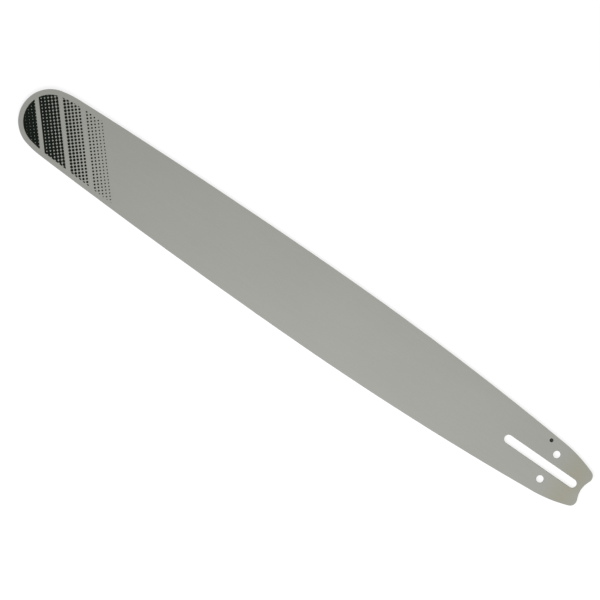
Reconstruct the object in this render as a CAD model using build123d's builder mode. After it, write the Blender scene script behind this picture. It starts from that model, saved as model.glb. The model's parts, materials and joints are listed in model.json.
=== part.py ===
from build123d import *
import os
from math import acos, asin, atan2, cos, degrees, hypot, radians, sin

# Guide bar of a chainsaw: one hard-nosed steel plate with a chain groove milled into its edge.
# It lies flat, with its long axis on Y, the nose at +Y, the tail at -Y and the underside at Z = 0.
# The outline is a chain of tangent arcs, alike on both sides of the Y axis. All sizes are in mm.

# Plate
bar_length = 725.0  # nose tip to the ends of the tail's horns
plate_thickness = 4.8
edge_break = 0.4  # bevel along every edge of the two faces

# Nose: a round tip that a larger arc eases into each rail
nose_radius = 34.3
shoulder_radius = 116.0
shoulder_rise = 1.45  # how far outside the nose circle the line of the rail would pass

# Rails: widest at the belly, and falling away from it in one long arc each way
rail_crown = 7.75  # how much wider a side is at the belly than beside the nose
belly_from_tail = 345.0
rear_rail_radius = 3560.0

# Tail: the rails ease in to two round horns with a hollow between them
tail_radius = 156.0
horn_radius = 7.5
horn_spacing = 29.4  # between the centres of the horns' rounds
tail_notch_depth = 3.4

# Chain groove in the rails and round the nose, open at both horns
groove_width = 1.6
groove_depth = 8.0
groove_mouth_width = 2.8  # the mouth at each horn flares to lead the chain in
groove_flare_length = 14.0

# Slot for the bar studs, and the holes for the chain tensioner's peg
slot_width = 9.4
slot_length = 92.0
slot_from_tail = 10.0
tensioner_hole_diameter = 8.0
tensioner_hole_spacing = 31.5
tensioner_holes_from_tail = 45.8

# Oil holes: one from each face into the groove, so that the bar can be turned over
oil_hole_diameter = 4.2
oil_hole_from_tail = 59.1
oil_hole_overlap = 1.0  # how far the hole reaches past the groove's floor

# How far cutting shapes reach past the plate
cut_margin = 10.0


def arc_turns(across, along, first_radius, second_radius, end_radius):
    """Degrees that two tangent arcs turn through between a belly and a circle they end on.

    The first arc starts at the belly, square to X, and the circle's centre lies at (across, along)
    from the first arc's centre.
    """
    first_to_second = first_radius - second_radius
    second_to_end = second_radius - end_radius
    reach = hypot(across, along)
    cosine = (reach**2 - first_to_second**2 - second_to_end**2) / (2 * first_to_second * second_to_end)
    second_turn = acos(cosine)
    first_turn = atan2(along, across) - asin(second_to_end * sin(second_turn) / reach)
    return degrees(first_turn), degrees(second_turn)


# Places along the bar
nose_tip_y = bar_length / 2
nose_centre_y = nose_tip_y - nose_radius
tail_y = -bar_length / 2
horn_centre_y = tail_y + horn_radius
belly_y = tail_y + belly_from_tail
tensioner_holes_y = tail_y + tensioner_holes_from_tail
slot_centre_y = tail_y + slot_from_tail + slot_length / 2

# The front rail starts square to X at the belly and would pass shoulder_rise outside the nose circle
rail_reach = nose_radius + shoulder_rise
half_width = rail_reach + rail_crown
belly_to_nose = nose_centre_y - belly_y
front_rail_radius = (belly_to_nose**2 + half_width**2 - rail_reach**2) / (2 * rail_crown)

front_turn, shoulder_turn = arc_turns(
    front_rail_radius - half_width, belly_to_nose, front_rail_radius, shoulder_radius, nose_radius
)
nose_turn = 90 - front_turn - shoulder_turn
horn_x = horn_spacing / 2
belly_to_horn = belly_y - horn_centre_y
rear_turn, tail_turn = arc_turns(
    rear_rail_radius - half_width + horn_x, belly_to_horn, rear_rail_radius, tail_radius, horn_radius
)

# The hollow between the horns touches both of their rounds
notch_radius = horn_x**2 / (2 * tail_notch_depth) + tail_notch_depth / 2 - horn_radius
notch_top_y = tail_y + tail_notch_depth
notch_lean = degrees(atan2(horn_x, horn_centre_y - notch_top_y + notch_radius))
horn_turn = 90 + notch_lean - rear_turn - tail_turn

# Heading of the right-hand rail where it comes to its horn, and the way in from it
horn_angle = radians(rear_turn + tail_turn)
run_out = Vector(-sin(horn_angle), -cos(horn_angle))
inward = Vector(-cos(horn_angle), sin(horn_angle))

# Oil hole beside the rear rail, with its inner side just past the groove's floor
oil_hole_inset = groove_depth + oil_hole_overlap - oil_hole_diameter / 2
oil_hole_y = tail_y + oil_hole_from_tail
oil_arc_radius = rear_rail_radius - oil_hole_inset
oil_hole_turn = asin((belly_y - oil_hole_y) / oil_arc_radius)
oil_hole_x = half_width - rear_rail_radius + oil_arc_radius * cos(oil_hole_turn)


def rail_line(inset):
    """Right-hand rail from the nose tip to the horn, set in from the edge; returns its last arc."""
    belly = (half_width - inset, belly_y)
    front = JernArc(belly, (0, 1), front_rail_radius - inset, front_turn)
    shoulder = JernArc(front @ 1, front % 1, shoulder_radius - inset, shoulder_turn)
    JernArc(shoulder @ 1, shoulder % 1, nose_radius - inset, nose_turn)
    rear = JernArc(belly, (0, -1), rear_rail_radius - inset, -rear_turn)
    return JernArc(rear @ 1, rear % 1, tail_radius - inset, -tail_turn)


with BuildPart() as guide_bar:
    # Plate
    with BuildSketch() as plate:
        with BuildLine():
            rail = rail_line(0)
            horn = JernArc(rail @ 1, rail % 1, horn_radius, -horn_turn)
            mirror(about=Plane.YZ)
            notch_end = horn @ 1
            ThreePointArc(notch_end, (0, notch_top_y), (-notch_end.X, notch_end.Y))
        make_face()
        with Locations((0, slot_centre_y)):
            SlotOverall(slot_length, slot_width, rotation=90, mode=Mode.SUBTRACT)
        with Locations((0, tensioner_holes_y)):
            with GridLocations(tensioner_hole_spacing, 0, 2, 1):
                Circle(tensioner_hole_diameter / 2, mode=Mode.SUBTRACT)
    extrude(amount=plate_thickness)
    chamfer(guide_bar.faces().filter_by(Axis.Z).edges(), length=edge_break)

    # Chain groove: all that lies outside its floor line, in the middle of the thickness
    middle = plate_thickness / 2
    with BuildSketch(Plane.XY.offset(middle - groove_width / 2)) as groove:
        Rectangle(2 * (half_width + cut_margin), bar_length + 2 * cut_margin)
        with BuildLine():
            floor_end = rail_line(groove_depth) @ 1
            leaving = Line(floor_end, floor_end + run_out * (horn_radius + cut_margin))
            mirror(about=Plane.YZ)
            Line(leaving @ 1, (-(leaving @ 1).X, (leaving @ 1).Y))
        make_face(mode=Mode.SUBTRACT)
    extrude(amount=groove_width, mode=Mode.SUBTRACT)

    # Flared mouths of the groove, widest at the ends of the horns
    mouth_end = rail @ 1 + run_out * horn_radius
    for side in (1, -1):
        mouth = Plane(
            origin=(side * mouth_end.X, mouth_end.Y, middle),
            x_dir=(side * run_out.X, run_out.Y, 0),
            z_dir=(side * inward.X, inward.Y, 0),
        )
        with BuildSketch(mouth) as flare:
            with BuildLine():
                Polyline(
                    (-groove_flare_length, 0),
                    (-groove_flare_length, groove_width / 2),
                    (0, groove_mouth_width / 2),
                    (cut_margin, groove_mouth_width / 2),
                    (cut_margin, 0),
                )
                mirror(about=Plane.XZ)
            make_face()
        extrude(amount=groove_depth, mode=Mode.SUBTRACT)

    # Oil holes from both faces, each on the right when its own face is up
    for face_plane in (Plane.XY.offset(plate_thickness), Plane.XY.rotated((0, 180, 0))):
        with BuildSketch(face_plane) as oil_hole:
            with Locations((oil_hole_x, oil_hole_y)):
                Circle(oil_hole_diameter / 2)
        extrude(amount=-middle, mode=Mode.SUBTRACT)

guide_bar.part.label = "guide_bar"

os.makedirs("parts", exist_ok=True)
export_step(guide_bar.part, "parts/guide_bar.step")
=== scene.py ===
import json
from cmath import phase, rect
from collections import namedtuple
from math import asin, ceil, pi, radians, sqrt

import bmesh
import bpy
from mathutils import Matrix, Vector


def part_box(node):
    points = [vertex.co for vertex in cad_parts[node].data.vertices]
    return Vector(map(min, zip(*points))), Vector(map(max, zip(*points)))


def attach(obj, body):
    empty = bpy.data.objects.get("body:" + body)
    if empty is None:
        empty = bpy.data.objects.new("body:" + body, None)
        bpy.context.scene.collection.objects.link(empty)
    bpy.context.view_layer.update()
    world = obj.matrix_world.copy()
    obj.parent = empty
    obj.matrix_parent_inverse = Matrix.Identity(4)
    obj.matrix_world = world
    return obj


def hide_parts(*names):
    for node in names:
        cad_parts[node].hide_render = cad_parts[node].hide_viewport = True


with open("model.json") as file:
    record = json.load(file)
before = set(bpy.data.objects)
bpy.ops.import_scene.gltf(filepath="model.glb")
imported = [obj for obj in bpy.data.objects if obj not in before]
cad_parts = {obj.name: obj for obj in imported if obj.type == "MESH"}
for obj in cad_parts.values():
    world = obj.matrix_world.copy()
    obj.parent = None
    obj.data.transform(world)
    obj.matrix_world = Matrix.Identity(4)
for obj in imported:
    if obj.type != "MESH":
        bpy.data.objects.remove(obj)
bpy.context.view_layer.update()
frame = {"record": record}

# A chainsaw's guide bar, lying flat with its nose at +Y and its tail at -Y. Lengths are in metres and
# angles in radians. A point of the plan, seen from above, is a complex number: x + yj.

MM = 0.001
scene = bpy.context.scene
scene.view_settings.view_transform = "Standard"


# Sizes of the bar, as the CAD model has them

bar_low, bar_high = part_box("guide_bar")
mounts = {mount["name"]: mount for mount in frame["record"]["mounts"]}

THICKNESS = bar_high.z
HALF_WIDTH = bar_high.x
NOSE_TIP_Y = bar_high.y
TAIL_Y = bar_low.y
EDGE_BREAK = 0.4 * MM
NOSE_RADIUS = 34.3 * MM
SHOULDER_RADIUS = 116 * MM
SHOULDER_RISE = 1.45 * MM  # how far outside the nose circle the line of the rail would pass
BELLY_FROM_TAIL = 345 * MM
REAR_RAIL_RADIUS = 3560 * MM
TAIL_RADIUS = 156 * MM
HORN_RADIUS = 7.5 * MM
HORN_SPACING = 29.4 * MM
TAIL_NOTCH_DEPTH = 3.4 * MM
GROOVE_WIDTH = 1.6 * MM
GROOVE_DEPTH = 8 * MM
GROOVE_MOUTH_WIDTH = 2.8 * MM
GROOVE_FLARE_LENGTH = 14 * MM
OIL_HOLE_RADIUS = 2.1 * MM
OIL_HOLE_FROM_TAIL = 59.1 * MM
OIL_HOLE_OVERLAP = 1.0 * MM  # how far an oil hole reaches past the groove's floor

# Print at the nose: a screen of ink dots in slanted bands, which shrink away from the nose
INK_THICKNESS = 0.03 * MM
INK_BITE = 0.01 * MM  # how far the ink reaches into the paint
PRINT_INSET = 5.6 * MM  # from the bar's edge
PRINT_SHIFT = -0.4 * MM  # of its border, to the left of the bar's axis
PRINT_SLANT = radians(41)  # of the bands, from square across the bar
PRINT_END_Y = 256.0 * MM  # where the last column of dots crosses the bar's axis
COLUMN_PITCH = 3.73 * MM
ROW_PITCH = 3.54 * MM
COLUMNS = 24
STRIPES = (18.65 * MM, 41.3 * MM, 66.3 * MM)  # pale stripes between the bands, from the last column
STRIPE_WIDTH = 4.4 * MM
LAST_DOT_RADIUS = 0.73 * MM
FIRST_DOT_RADIUS = 2.47 * MM
DOT_GROWTH = 1.25  # over 1, the dots grow faster towards the nose
DOT_SIDES = 24
BAND_REACH = 3 * HALF_WIDTH  # how far rows of dots are tried each way along a band, past the bar's edges
SMALLEST_MARK = 0.15 * MM**2

# Mesh
CHORD_SLACK = 0.004 * MM  # how far a facet may lie inside the arc that it follows
CUT_MARGIN = 10 * MM  # how far cutting shapes reach past the plate
CUT_OFFSET = 0.02 * MM  # keeps the floors of two cuts out of one plane
SHARP_ANGLE = radians(25)


# Plan of the bar

Arc = namedtuple("Arc", "centre radius start end bulge")  # bulge is 1 for a round edge, -1 for a hollow one


def circles_meet(centre_a, radius_a, centre_b, radius_b):
    """The point where two circles meet that lies on the right of the way from a to b."""
    gap = centre_b - centre_a
    reach = abs(gap)
    along = (reach**2 + radius_a**2 - radius_b**2) / (2 * reach)
    across = sqrt(radius_a**2 - along**2)
    return centre_a + gap / reach * complex(along, -across)


def arc_points(arc, inset=0.0):
    """Points along an arc that is set in from the plate's edge."""
    turn = arc.end - arc.start
    steps = ceil(abs(turn) / (2 * sqrt(2 * CHORD_SLACK / arc.radius)))
    radius = arc.radius - arc.bulge * inset
    return [arc.centre + rect(radius, arc.start + turn * k / steps) for k in range(steps + 1)]


def chain_points(arcs, inset=0.0):
    """Points along arcs that join end to end."""
    points = arc_points(arcs[0], inset)
    for arc in arcs[1:]:
        points += arc_points(arc, inset)[1:]
    return points


def mirrored(points):
    """The same points on the other side of the bar, in the opposite order."""
    return [-point.conjugate() for point in reversed(points)]


def slot_points(centre, half_straight, radius, inset=0.0):
    """Closed line round a slot along Y, or round a hole where half_straight is 0."""
    step = 1j * half_straight
    far_end = arc_points(Arc(centre + step, radius, 0, pi, -1), inset)
    near_end = arc_points(Arc(centre - step, radius, pi, 2 * pi, -1), inset)
    return far_end + near_end if half_straight else far_end + near_end[1:-1]


belly_y = TAIL_Y + BELLY_FROM_TAIL
nose_centre = complex(0, NOSE_TIP_Y - NOSE_RADIUS)
rail_reach = NOSE_RADIUS + SHOULDER_RISE
belly_to_nose = nose_centre.imag - belly_y
front_rail_radius = (belly_to_nose**2 + HALF_WIDTH**2 - rail_reach**2) / (2 * (HALF_WIDTH - rail_reach))
front_centre = complex(HALF_WIDTH - front_rail_radius, belly_y)
shoulder_centre = circles_meet(
    front_centre, front_rail_radius - SHOULDER_RADIUS, nose_centre, SHOULDER_RADIUS - NOSE_RADIUS
)
rear_centre = complex(HALF_WIDTH - REAR_RAIL_RADIUS, belly_y)
horn_centre = complex(HORN_SPACING / 2, TAIL_Y + HORN_RADIUS)
tail_centre = circles_meet(
    horn_centre, TAIL_RADIUS - HORN_RADIUS, rear_centre, REAR_RAIL_RADIUS - TAIL_RADIUS
)
notch_radius = (HORN_SPACING / 2) ** 2 / (2 * TAIL_NOTCH_DEPTH) + TAIL_NOTCH_DEPTH / 2 - HORN_RADIUS
notch_centre = complex(0, TAIL_Y + TAIL_NOTCH_DEPTH - notch_radius)

# Directions in which the arcs meet, down the right side from the nose tip to the middle of the notch
nose_end = phase(nose_centre - shoulder_centre)
shoulder_end = phase(shoulder_centre - front_centre)
rear_end = phase(tail_centre - rear_centre)
tail_end = phase(horn_centre - tail_centre)
horn_end = phase(notch_centre - horn_centre)
rail_heading = rect(1, tail_end - pi / 2)  # of the right-hand rail, where it comes to its horn

nose_arcs = [
    Arc(nose_centre, NOSE_RADIUS, pi / 2, nose_end, 1),
    Arc(shoulder_centre, SHOULDER_RADIUS, nose_end, shoulder_end, 1),
    Arc(front_centre, front_rail_radius, shoulder_end, 0, 1),
]
rail_arcs = nose_arcs + [
    Arc(rear_centre, REAR_RAIL_RADIUS, 0, rear_end, 1),
    Arc(tail_centre, TAIL_RADIUS, rear_end, tail_end, 1),
]
horn_arc = Arc(horn_centre, HORN_RADIUS, tail_end, horn_end, 1)
notch_arc = Arc(notch_centre, notch_radius, horn_end + pi, pi / 2, -1)


def edge_points(inset):
    """Closed line round the whole bar, set in from its edge."""
    right = chain_points(rail_arcs + [horn_arc, notch_arc], inset)
    return right + mirrored(right)[1:-1]


# Shader nodes

NOISE_DETAIL = 3.0
NOISE_LOW, NOISE_HIGH = 0.3, 0.7  # between which most of a noise's values lie


def new_material(name, metallic=0.0, specular=0.5):
    """A new material with its shader, on which what is the same all over is set."""
    material = bpy.data.materials.new(name)
    material.use_nodes = True
    shader = material.node_tree.nodes["Principled BSDF"]
    shader.inputs["Metallic"].default_value = metallic
    shader.inputs["Specular IOR Level"].default_value = specular
    return material, material.node_tree, shader


def own_place(tree):
    """The place of a surface point in its object's own frame."""
    return tree.nodes.new("ShaderNodeTexCoord").outputs["Object"]


def along_bar(tree):
    """The place along the bar, which is its Y."""
    split = tree.nodes.new("ShaderNodeSeparateXYZ")
    tree.links.new(own_place(tree), split.inputs["Vector"])
    return split.outputs["Y"]


def noise(tree, grain):
    """The value of a noise, with a size of grain along X, Y and Z."""
    mapping = tree.nodes.new("ShaderNodeMapping")
    mapping.inputs["Scale"].default_value = [1 / size for size in grain]
    texture = tree.nodes.new("ShaderNodeTexNoise")
    texture.inputs["Scale"].default_value = 1
    texture.inputs["Detail"].default_value = NOISE_DETAIL
    tree.links.new(own_place(tree), mapping.inputs["Vector"])
    tree.links.new(mapping.outputs["Vector"], texture.inputs["Vector"])
    return texture.outputs["Fac"]


def combine(tree, operation, first, second):
    """Two values made one by a math operation."""
    node = tree.nodes.new("ShaderNodeMath")
    node.operation = operation
    tree.links.new(first, node.inputs[0])
    tree.links.new(second, node.inputs[1])
    return node.outputs["Value"]


def remap(tree, value, low, high, from_low=NOISE_LOW, from_high=NOISE_HIGH):
    """The value, taken from one range to another."""
    node = tree.nodes.new("ShaderNodeMapRange")
    for name, number in (("From Min", from_low), ("From Max", from_high), ("To Min", low), ("To Max", high)):
        node.inputs[name].default_value = number
    tree.links.new(value, node.inputs["Value"])
    return node.outputs["Result"]


def ramp(tree, value, low_colour, high_colour):
    """A colour that runs from one to another as a noise does."""
    node = tree.nodes.new("ShaderNodeValToRGB")
    low, high = node.color_ramp.elements
    low.position, low.color = NOISE_LOW, (*low_colour, 1)
    high.position, high.color = NOISE_HIGH, (*high_colour, 1)
    tree.links.new(value, node.inputs["Fac"])
    return node.outputs["Color"]


def blend(tree, first, second, factor=None):
    """Two colours mixed by a value, or multiplied where there is none. The second may be plain numbers."""
    node = tree.nodes.new("ShaderNodeMix")
    node.data_type = "RGBA"
    if factor:
        tree.links.new(factor, node.inputs["Factor"])
    else:
        node.blend_type = "MULTIPLY"
        node.inputs["Factor"].default_value = 1
    colour_a, colour_b = (socket for socket in node.inputs if socket.type == "RGBA")
    tree.links.new(first, colour_a)
    if isinstance(second, tuple):
        colour_b.default_value = (*second, 1)
    else:
        tree.links.new(second, colour_b)
    return next(socket for socket in node.outputs if socket.type == "RGBA")


def darkened(tree, colour, value, least):
    """The colour, darkened to the least share of it where a noise is low."""
    return blend(tree, colour, ramp(tree, value, (least, least, least), (1, 1, 1)))


def add_bump(tree, shader, *layers):
    """Bumps the surface by layers of a height value and its depth."""
    normal = None
    for height, depth in layers:
        bump = tree.nodes.new("ShaderNodeBump")
        bump.inputs["Distance"].default_value = depth
        tree.links.new(height, bump.inputs["Height"])
        if normal:
            tree.links.new(normal, bump.inputs["Normal"])
        normal = bump.outputs["Normal"]
    tree.links.new(normal, shader.inputs["Normal"])


# Materials: a size of grain is along X, Y and Z, a shade is the least share of the colour that a layer
# leaves, and a pair of roughness is for the low and for the high values of its noise

PAINT_DARK, PAINT_PALE = (0.334, 0.340, 0.307), (0.349, 0.354, 0.321)
PAINT_MOTTLE = (70 * MM, 110 * MM, 70 * MM)
PAINT_GRAIN = (0.7 * MM, 0.7 * MM, 0.7 * MM)
PAINT_GRAIN_SHADE, PAINT_GRAIN_DEPTH = 0.94, 0.03 * MM
PAINT_LINES = (0.45 * MM, 28 * MM, 0.45 * MM)  # lengthwise grinding lines of the steel under the paint
PAINT_LINES_SHADE, PAINT_LINES_DEPTH = 0.96, 0.012 * MM
PAINT_ROUGHNESS = (0.38, 0.52)

WARM_TINT = (0.955, 0.915, 0.79)  # of a warm tint, laid in patches over the paint near the tail
WARM_PATCHES = (18 * MM, 18 * MM, 18 * MM)
WARM_COVER = (0.65, 1.0)
WARM_START, WARM_FULL, WARM_FADE = 42 * MM, 20 * MM, 14 * MM  # from the tail's end
WARM_AT_END = 0.3  # share of the tint that is left at the tail's very end

RUBBED_PATCHES = (3 * MM, 3 * MM, 0.6 * MM)
RUBBED_FROM, RUBBED_FULL = 0.55, 0.66  # values of the noise where the steel begins to show and shows most
RUBBED_MOST = 0.7  # share of steel there
RUBBED_DEPTH = 0.02 * MM
RUBBED_ROUGHNESS = (0.34, 0.5)

STEEL_DARK, STEEL_PALE = (0.33, 0.33, 0.32), (0.54, 0.54, 0.53)
STEEL_DULLING = (9 * MM, 14 * MM, 9 * MM)
STEEL_LINES = (30 * MM, 30 * MM, 0.12 * MM)  # grinding lines that follow the edge
STEEL_LINES_SHADE, STEEL_LINES_DEPTH = 0.8, 0.01 * MM
STEEL_ROUGHNESS = (0.42, 0.26)

# Near-black: the steel's oil, darkened further as painted shade, so that the groove and the oil holes look
# dark
OILED_SHADED_DARK, OILED_SHADED_PALE = (0.02, 0.019, 0.017), (0.05, 0.048, 0.044)
OILED_PATCHES = (4 * MM, 8 * MM, 4 * MM)
OILED_LINES = (12 * MM, 12 * MM, 0.2 * MM)
OILED_LINES_DEPTH = 0.02 * MM
OILED_ROUGHNESS = (0.35, 0.55)

INK_DARK, INK_PALE = (0.0042, 0.0066, 0.0045), (0.0070, 0.0104, 0.0073)
INK_COVER = (1.2 * MM, 1.2 * MM, 1.2 * MM)
INK_GRAIN = (0.35 * MM, 0.35 * MM, 0.35 * MM)
INK_GRAIN_DEPTH = 0.015 * MM
INK_ROUGHNESS = (0.5, 0.65)


def paint_layers(tree):
    """Grain, lines and colour of the paint: a grey that is faintly mottled, flecked and streaked."""
    grain = noise(tree, PAINT_GRAIN)
    lines = noise(tree, PAINT_LINES)
    colour = ramp(tree, noise(tree, PAINT_MOTTLE), PAINT_DARK, PAINT_PALE)
    colour = darkened(tree, colour, grain, PAINT_GRAIN_SHADE)
    colour = darkened(tree, colour, lines, PAINT_LINES_SHADE)
    return grain, lines, colour


def make_paint():
    """Satin grey paint with a fine grain over lengthwise grinding lines, and a warm tint in patches near the
    tail.
    """
    material, tree, shader = new_material("satin_grey_paint")
    grain, lines, colour = paint_layers(tree)
    warmth = remap(tree, noise(tree, WARM_PATCHES), *WARM_COVER)
    for least, thin, full in ((0.0, WARM_START, WARM_FULL), (WARM_AT_END, 0.0, WARM_FADE)):
        share = remap(tree, along_bar(tree), least, 1.0, TAIL_Y + thin, TAIL_Y + full)
        warmth = combine(tree, "MULTIPLY", warmth, share)
    colour = blend(tree, colour, blend(tree, colour, WARM_TINT), warmth)
    tree.links.new(colour, shader.inputs["Base Color"])
    tree.links.new(remap(tree, grain, *PAINT_ROUGHNESS), shader.inputs["Roughness"])
    add_bump(tree, shader, (lines, PAINT_LINES_DEPTH), (grain, PAINT_GRAIN_DEPTH))
    return material


def make_worn_paint():
    """Paint on the bevels of the openings and the notch, thin and rubbed through to the steel in places."""
    material, tree, shader = new_material("worn_paint_edge")
    grain, _, colour = paint_layers(tree)
    rubbed = remap(tree, noise(tree, RUBBED_PATCHES), 0.0, RUBBED_MOST, RUBBED_FROM, RUBBED_FULL)
    tree.links.new(blend(tree, colour, STEEL_PALE, rubbed), shader.inputs["Base Color"])
    tree.links.new(rubbed, shader.inputs["Metallic"])
    tree.links.new(remap(tree, grain, *RUBBED_ROUGHNESS), shader.inputs["Roughness"])
    add_bump(tree, shader, (rubbed, -RUBBED_DEPTH), (grain, PAINT_GRAIN_DEPTH))
    return material


def make_ground_steel():
    """Bare steel of the rails, ground along the edge and a little dulled."""
    material, tree, shader = new_material("ground_steel", metallic=1.0)
    lines = noise(tree, STEEL_LINES)
    dulling = noise(tree, STEEL_DULLING)
    colour = ramp(tree, dulling, STEEL_DARK, STEEL_PALE)
    tree.links.new(darkened(tree, colour, lines, STEEL_LINES_SHADE), shader.inputs["Base Color"])
    tree.links.new(remap(tree, dulling, *STEEL_ROUGHNESS), shader.inputs["Roughness"])
    add_bump(tree, shader, (lines, STEEL_LINES_DEPTH))
    return material


def make_oiled_steel_painted_shade():
    """Steel inside the groove and the oil holes, dark with oil, and made near-black as painted shade of
    these deep recesses.
    """
    material, tree, shader = new_material("oiled_steel_painted_shade", metallic=0.6, specular=0.3)
    oil = noise(tree, OILED_PATCHES)
    tree.links.new(ramp(tree, oil, OILED_SHADED_DARK, OILED_SHADED_PALE), shader.inputs["Base Color"])
    tree.links.new(remap(tree, oil, *OILED_ROUGHNESS), shader.inputs["Roughness"])
    add_bump(tree, shader, (noise(tree, OILED_LINES), OILED_LINES_DEPTH))
    return material


def make_ink():
    """Matt black printing ink, laid on a little unevenly."""
    material, tree, shader = new_material("black_ink", specular=0.05)
    cover = noise(tree, INK_COVER)
    tree.links.new(ramp(tree, cover, INK_DARK, INK_PALE), shader.inputs["Base Color"])
    tree.links.new(remap(tree, cover, *INK_ROUGHNESS), shader.inputs["Roughness"])
    add_bump(tree, shader, (noise(tree, INK_GRAIN), INK_GRAIN_DEPTH))
    return material


# Mesh building


def add_ring(mesh, points, z):
    return [mesh.verts.new((point.real, point.imag, z)) for point in points]


def add_wall(mesh, lower, upper, materials=(0,)):
    """Quads between two closed rings; materials gives each quad its material, over and over."""
    for k in range(len(lower)):
        face = mesh.faces.new((lower[k - 1], lower[k], upper[k], upper[k - 1]))
        face.material_index = materials[k % len(materials)]


def add_prism(mesh, outline, low_z, high_z):
    """A closed solid with the outline as its plan, between two heights."""
    rings = [add_ring(mesh, outline, z) for z in (low_z, high_z)]
    add_wall(mesh, *rings)
    for ring in rings:
        mesh.faces.new(ring)


def ring_edges(mesh, ring):
    return [mesh.edges.get((ring[k - 1], ring[k])) for k in range(len(ring))]


def finish_piece(name, mesh, materials):
    """An object of the mesh, with its faces turned outwards."""
    bmesh.ops.recalc_face_normals(mesh, faces=mesh.faces)
    data = bpy.data.meshes.new(name)
    mesh.to_mesh(data)
    mesh.free()
    for material in materials:
        data.materials.append(material)
    piece = bpy.data.objects.new(name, data)
    scene.collection.objects.link(piece)
    return piece


def subtract(piece, cutters):
    """Cuts solids out of a piece. Cut faces take the cutters' materials."""
    for cutter in cutters:
        modifier = piece.modifiers.new("cut", "BOOLEAN")
        modifier.operation = "DIFFERENCE"
        modifier.solver = "EXACT"
        modifier.material_mode = "TRANSFER"
        modifier.object = cutter
    evaluated = piece.evaluated_get(bpy.context.evaluated_depsgraph_get())
    cut = bpy.data.meshes.new_from_object(evaluated)
    piece.modifiers.clear()
    blank, piece.data = piece.data, cut
    bpy.data.meshes.remove(blank)
    for cutter in cutters:
        bpy.data.meshes.remove(cutter.data)


def smooth_between_sharp_edges(piece):
    piece.data.shade_smooth()
    piece.data.set_sharp_from_angle(angle=SHARP_ANGLE)


# Guide bar

PAINT, GROUND_STEEL, WORN_PAINT = range(3)
plate_top = THICKNESS - INK_THICKNESS
middle = THICKNESS / 2


def plate_openings():
    """The stud slot and the tensioner holes, as slot_points takes them."""
    slot = mounts["stud_slot"]
    radius = slot["dims"]["hole_r_mm"] * MM
    half_straight = slot["dims"]["slot_length_mm"] * MM / 2 - radius
    openings = [(complex(*slot["pos_m"][:2]), half_straight, radius)]
    for name in ("tensioner_hole_right", "tensioner_hole_left"):
        hole = mounts[name]
        openings.append((complex(*hole["pos_m"][:2]), 0, hole["dims"]["r_mm"] * MM))
    return openings


def edge_finishes(notch_finish):
    """The material of each quad round the bar's edge: ground steel, and another finish in the notch."""
    ground_steps = len(chain_points(rail_arcs + [horn_arc])) - 1
    notch_steps = len(arc_points(notch_arc)) - 1
    right = [GROUND_STEEL] * ground_steps + [notch_finish] * notch_steps
    # The first quad of a wall closes it, at the nose tip
    return right[:1] + right + right[:0:-1]


def make_blank(materials):
    """The plate with its slot and through holes, and a bevel along every edge of both faces."""
    mesh = bmesh.new()
    levels = ((0, EDGE_BREAK), (EDGE_BREAK, 0), (plate_top - EDGE_BREAK, 0), (plate_top, EDGE_BREAK))
    finishes = (WORN_PAINT, PAINT, WORN_PAINT)
    outer_rings = [add_ring(mesh, edge_points(inset), z) for z, inset in levels]
    sets_of_rings = [outer_rings]
    for opening in plate_openings():
        sets_of_rings.append([add_ring(mesh, slot_points(*opening, inset), z) for z, inset in levels])
    for rings in sets_of_rings:
        for lower, upper, finish in zip(rings, rings[1:], finishes):
            add_wall(mesh, lower, upper, edge_finishes(finish) if rings is outer_rings else (finish,))
    for level in (0, -1):
        edges = [edge for rings in sets_of_rings for edge in ring_edges(mesh, rings[level])]
        bmesh.ops.triangle_fill(mesh, use_beauty=True, edges=edges)
    return finish_piece("guide_bar_plate", mesh, materials)


def make_groove_cutter(oiled_steel_painted_shade):
    """All that lies outside the line of the groove's floor, as thick as the groove is wide."""
    right = chain_points(rail_arcs, GROOVE_DEPTH)
    right.append(right[-1] + rail_heading * (HORN_RADIUS + CUT_MARGIN))
    far_x = HALF_WIDTH + CUT_MARGIN
    outside = [complex(far_x, right[-1].imag), complex(far_x, NOSE_TIP_Y + CUT_MARGIN)]
    outline = mirrored(right)[:-1] + right + outside + mirrored(outside)
    mesh = bmesh.new()
    add_prism(mesh, outline, middle - GROOVE_WIDTH / 2, middle + GROOVE_WIDTH / 2)
    return finish_piece("groove_cutter", mesh, (oiled_steel_painted_shade,))


def make_mouth_cutters(oiled_steel_painted_shade):
    """A wedge for each end of the groove, which flares to its mouth at the horn."""
    mouth = chain_points(rail_arcs)[-1] + rail_heading * HORN_RADIUS
    inward = rail_heading * -1j
    half_mouth = GROOVE_MOUTH_WIDTH / 2
    flare = (GROOVE_MOUTH_WIDTH - GROOVE_WIDTH) / 2
    # Both sides of a wedge run on past where the flare starts, inside the groove
    stations = (
        (-2 * GROOVE_FLARE_LENGTH, half_mouth - 2 * flare),
        (0, half_mouth),
        (CUT_MARGIN, half_mouth),
    )
    cutters = []
    for side in (1, -1):
        mesh = bmesh.new()
        sections = []
        for place, half_width in stations:
            edge = mouth + rail_heading * place
            bottom = edge + inward * (GROOVE_DEPTH - CUT_OFFSET)
            outside = edge - inward * CUT_MARGIN
            low_z, high_z = middle - half_width, middle + half_width
            corners = ((outside, low_z), (bottom, low_z), (bottom, high_z), (outside, high_z))
            sections.append([mesh.verts.new((side * point.real, point.imag, z)) for point, z in corners])
        for here, there in zip(sections, sections[1:]):
            add_wall(mesh, here, there)
        mesh.faces.new(sections[0])
        mesh.faces.new(sections[-1])
        cutters.append(finish_piece("mouth_cutter", mesh, (oiled_steel_painted_shade,)))
    return cutters


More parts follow.
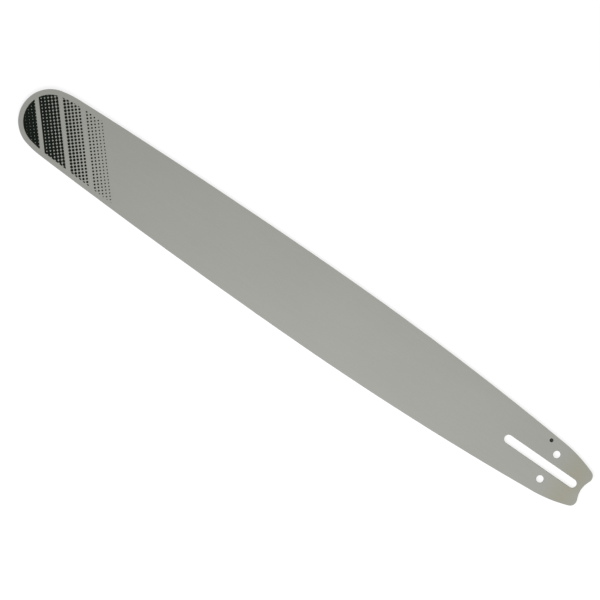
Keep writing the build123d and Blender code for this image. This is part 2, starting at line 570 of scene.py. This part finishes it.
def make_oil_hole_cutters(oiled_steel_painted_shade):
    """A pin for each oil hole: from the upper face on the right, and from the underside on the left."""
    inset = GROOVE_DEPTH + OIL_HOLE_OVERLAP - OIL_HOLE_RADIUS
    radius = REAR_RAIL_RADIUS - inset
    upper_hole = rear_centre + rect(radius, -asin((BELLY_FROM_TAIL - OIL_HOLE_FROM_TAIL) / radius))
    cutters = []
    for centre, far_z in ((upper_hole, THICKNESS + CUT_MARGIN), (-upper_hole.conjugate(), -CUT_MARGIN)):
        mesh = bmesh.new()
        add_prism(mesh, slot_points(centre, 0, OIL_HOLE_RADIUS), middle, far_z)
        cutters.append(finish_piece("oil_hole_cutter", mesh, (oiled_steel_painted_shade,)))
    return cutters


# The groove's steel carries painted shade in its near-black colour
oiled_steel_painted_shade = make_oiled_steel_painted_shade()
plate = make_blank((make_paint(), make_ground_steel(), make_worn_paint()))
groove_cutters = [make_groove_cutter(oiled_steel_painted_shade), *make_mouth_cutters(oiled_steel_painted_shade)]
subtract(plate, groove_cutters + make_oil_hole_cutters(oiled_steel_painted_shade))
smooth_between_sharp_edges(plate)
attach(plate, "root")
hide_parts("guide_bar")


# Print at the nose

print_start = complex(0, PRINT_END_Y)
print_across = rect(1, pi / 2 + PRINT_SLANT)  # from column to column, towards the nose
print_along = print_across * -1j  # from row to row, along the bands


def clipped(polygon, point, inward):
    """The part of a convex polygon on the inward side of a line through a point."""
    sides = [((corner - point) * inward.conjugate()).real for corner in polygon]
    kept = []
    for k, corner in enumerate(polygon):
        if sides[k - 1] * sides[k] < 0:
            share = sides[k - 1] / (sides[k - 1] - sides[k])
            kept.append(polygon[k - 1] + (corner - polygon[k - 1]) * share)
        if sides[k] >= 0:
            kept.append(corner)
    return kept


def area(polygon):
    return abs(sum((polygon[k - 1].conjugate() * polygon[k]).imag for k in range(len(polygon)))) / 2


def border_lines():
    """Lines that bound the print, as pairs of a point and the direction inwards."""
    right = chain_points(nose_arcs, PRINT_INSET)
    line = [point + PRINT_SHIFT for point in mirrored(right) + right[1:]]
    return [(here, -1j * (there - here) / abs(there - here)) for here, there in zip(line, line[1:])]


def cell_lines(centre):
    """Lines that bound a dot's cell of the grid."""
    lines = []
    for direction, pitch in ((print_across, COLUMN_PITCH), (print_along, ROW_PITCH)):
        for outward in (direction, -direction):
            lines.append((centre + outward * pitch / 2, -outward))
    return lines


def dot_radius(column):
    """The dots' areas grow from the last column to the first, at the nose."""
    share = (column / (COLUMNS - 1)) ** DOT_GROWTH
    return sqrt(LAST_DOT_RADIUS**2 + share * (FIRST_DOT_RADIUS**2 - LAST_DOT_RADIUS**2))


def print_marks():
    """Outlines of the ink marks: dots on a grid, cut off by their cells, the stripes and the border."""
    border = border_lines()
    rows = ceil(BAND_REACH / ROW_PITCH)
    marks = []
    for column in range(COLUMNS):
        place = column * COLUMN_PITCH
        radius = dot_radius(column)
        nearest_stripe = min(STRIPES, key=lambda stripe: abs(stripe - place))
        for row in range(-rows, rows):
            centre = print_start + print_across * place + print_along * row * ROW_PITCH
            dot = [centre + rect(radius, 2 * pi * k / DOT_SIDES) for k in range(DOT_SIDES)]
            for away in (print_across, -print_across):
                stripe_edge = print_start + print_across * nearest_stripe + away * STRIPE_WIDTH / 2
                mark = dot
                for point, inward in [(stripe_edge, away)] + cell_lines(centre) + border:
                    mark = clipped(mark, point, inward)
                if len(mark) > 2 and area(mark) > SMALLEST_MARK:
                    marks.append(mark)
    return marks


def make_print(ink):
    """A thin layer of ink on the upper face, as a prism for each mark."""
    mesh = bmesh.new()
    for mark in print_marks():
        add_prism(mesh, mark, plate_top - INK_BITE, THICKNESS)
    return finish_piece("nose_print", mesh, (ink,))


nose_print = make_print(make_ink())
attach(nose_print, "root")


# Floor, light and camera

FLOOR_SIZE = 40.0
FLOOR_DROP = 0.2 * MM
FLOOR_COLOUR = (0.3, 0.3, 0.3, 1)
WHITE = (1, 1, 1, 1)
NEAR_GLOW, FAR_GLOW = 0.79, 0.88
NEAR_FLOOR, FAR_FLOOR = 0.35, 1.2  # from the middle of the bar
WORLD_STRENGTH = 0.42  # as a light
LAMP_PLACE = (-0.49, -0.165, 0.85)
LAMP_SIZE = 0.8
LAMP_POWER = 7.3
PICTURE_WIDTH = 638.26 * MM  # of what the picture shows at the bar's upper face
PICTURE_TURN = radians(-55.246)
PICTURE_MIDDLE = complex(-4.83, 1.50) * MM
LENS, SENSOR = 400.0, 36.0  # in millimetres, as a camera takes them


def seen_rays(tree):
    """1 where the background is seen itself or in a reflection, and 0 where it only gives light."""
    rays = tree.nodes.new("ShaderNodeLightPath")
    seen = rays.outputs["Is Camera Ray"]
    for name in ("Is Glossy Ray", "Is Transmission Ray"):
        seen = combine(tree, "MAXIMUM", seen, rays.outputs[name])
    return seen


def make_floor_material():
    """Pale floor that takes a shadow, and is white where it is seen."""
    material = bpy.data.materials.new("pale_floor")
    material.use_nodes = True
    tree = material.node_tree
    tree.nodes.clear()
    diffuse = tree.nodes.new("ShaderNodeBsdfDiffuse")
    diffuse.inputs["Color"].default_value = FLOOR_COLOUR
    glow = tree.nodes.new("ShaderNodeEmission")
    both = tree.nodes.new("ShaderNodeAddShader")
    output = tree.nodes.new("ShaderNodeOutputMaterial")
    distance = tree.nodes.new("ShaderNodeVectorMath")
    distance.operation = "LENGTH"
    tree.links.new(own_place(tree), distance.inputs[0])
    strength = remap(tree, distance.outputs["Value"], NEAR_GLOW, FAR_GLOW, NEAR_FLOOR, FAR_FLOOR)
    tree.links.new(combine(tree, "MULTIPLY", seen_rays(tree), strength), glow.inputs["Strength"])
    tree.links.new(diffuse.outputs["BSDF"], both.inputs[0])
    tree.links.new(glow.outputs["Emission"], both.inputs[1])
    tree.links.new(both.outputs["Shader"], output.inputs["Surface"])
    return material


def make_floor():
    """A plain floor, a hair below the bar."""
    mesh = bmesh.new()
    bmesh.ops.create_grid(mesh, x_segments=1, y_segments=1, size=FLOOR_SIZE / 2)
    piece = finish_piece("floor", mesh, (make_floor_material(),))
    piece.location.z = -FLOOR_DROP
    return piece


floor = make_floor()

world = bpy.data.worlds.new("studio")
world.use_nodes = True
scene.world = world
background = world.node_tree.nodes["Background"]
background.inputs["Color"].default_value = WHITE
world_strength = remap(world.node_tree, seen_rays(world.node_tree), WORLD_STRENGTH, 1.0, 0.0, 1.0)
world.node_tree.links.new(world_strength, background.inputs["Strength"])

lamp = bpy.data.objects.new("soft_lamp", bpy.data.lights.new("soft_lamp", "AREA"))
lamp.data.shape = "DISK"
lamp.data.size = LAMP_SIZE
lamp.data.energy = LAMP_POWER
lamp.location = LAMP_PLACE
lamp.rotation_euler = (-lamp.location).to_track_quat("-Z", "Y").to_euler()
scene.collection.objects.link(lamp)

camera = bpy.data.objects.new("camera", bpy.data.cameras.new("camera"))
camera.data.lens = LENS
camera.data.sensor_width = SENSOR
camera.location = (PICTURE_MIDDLE.real, PICTURE_MIDDLE.imag, THICKNESS + PICTURE_WIDTH * LENS / SENSOR)
camera.rotation_euler = (0, 0, PICTURE_TURN)
scene.collection.objects.link(camera)
scene.camera = camera
